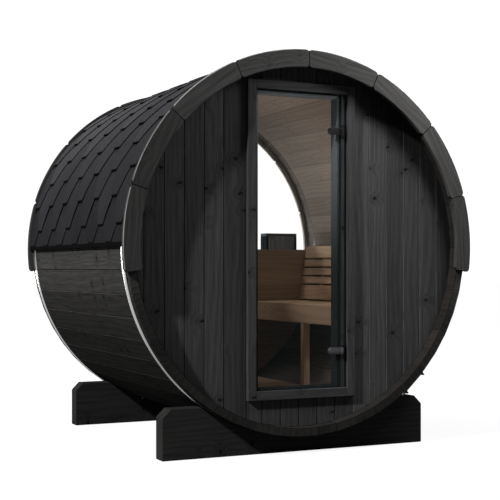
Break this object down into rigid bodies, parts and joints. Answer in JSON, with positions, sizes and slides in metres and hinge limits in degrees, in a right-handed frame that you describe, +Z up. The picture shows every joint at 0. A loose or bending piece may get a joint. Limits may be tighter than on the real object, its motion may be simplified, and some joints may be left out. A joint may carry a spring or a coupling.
{
  "type": "barrel sauna",
  "caption": "Barrel-shaped sauna cabin of dark staves on two cradles, with a glass door, a half-moon rear window, a shingled upper half and benches inside.",
  "frame": {"origin": "on the ground, under the middle of the barrel", "axes": "+Z up, -Y towards the door end, +X to the right of someone facing the door"},
  "size_m": [2.0602, 1.8086, 2.1251],
  "materials": {
    "stained_wood": "black-stained spruce outside, bare wood inside",
    "wall_wood": "black-stained spruce boards",
    "frame_wood": "black-stained planed wood",
    "trim_wood": "black-stained planed wood, slightly lighter",
    "shingles": "mineral-faced bitumen shingles, dark grey",
    "eave_black": "black",
    "band_steel": "bright stainless steel",
    "black_steel": "black powder coat",
    "door_glass": "bronze-tinted toughened glass",
    "window_glass": "clear toughened glass",
    "cradle_wood": "black-stained wood",
    "cabin_wood": "bare planed wood",
    "box_black": "black-stained wood"
  },
  "bodies": {
    "cabin": {"staves_bottom": "stained_wood", "staves_right_low": "stained_wood", "staves_right_side": "stained_wood", "staves_right_high": "stained_wood", "staves_right_top": "stained_wood", "staves_top": "stained_wood", "staves_left_top": "stained_wood", "staves_left_high": "stained_wood", "staves_left_side": "stained_wood", "staves_left_low": "stained_wood", "front_wall_left": "wall_wood", "front_wall_right": "wall_wood", "front_wall_over_door": "wall_wood", "front_wall_under_door": "wall_wood", "rear_wall": "wall_wood", "door_post_left": "frame_wood", "door_post_right": "frame_wood", "door_head": "frame_wood", "door_threshold": "frame_wood", "door_stops": "frame_wood", "hinge_post": "frame_wood", "front_trim_left": "trim_wood", "front_trim_right": "trim_wood", "rear_trim_left": "trim_wood", "rear_trim_right": "trim_wood", "roof_left": "shingles", "roof_right": "shingles", "eave_strips": "eave_black", "steel_bands": "band_steel", "tightener_bolts": "band_steel", "hinge_brackets": "black_steel", "tightener_lugs": "black_steel", "rear_window_glass": "window_glass", "cradle_front": "cradle_wood", "cradle_rear": "cradle_wood", "floor_boards": "cabin_wood", "floor_bearers": "cabin_wood", "bench_seats": "cabin_wood", "bench_fronts": "cabin_wood", "bench_legs": "cabin_wood", "backrest_slats": "cabin_wood", "backrest_battens": "cabin_wood", "rear_window_rail": "cabin_wood", "rear_box": "box_black"},
    "door": {"door_glass": "door_glass", "hinge_arms": "black_steel"}
  },
  "joints": [
    {"name": "door_hinge", "type": "hinge", "parent": "cabin", "child": "door", "pos_m": [0.243, -0.826, 1.124], "axis": [0, 0, 1], "range_deg": [0, 110]}
  ]
}
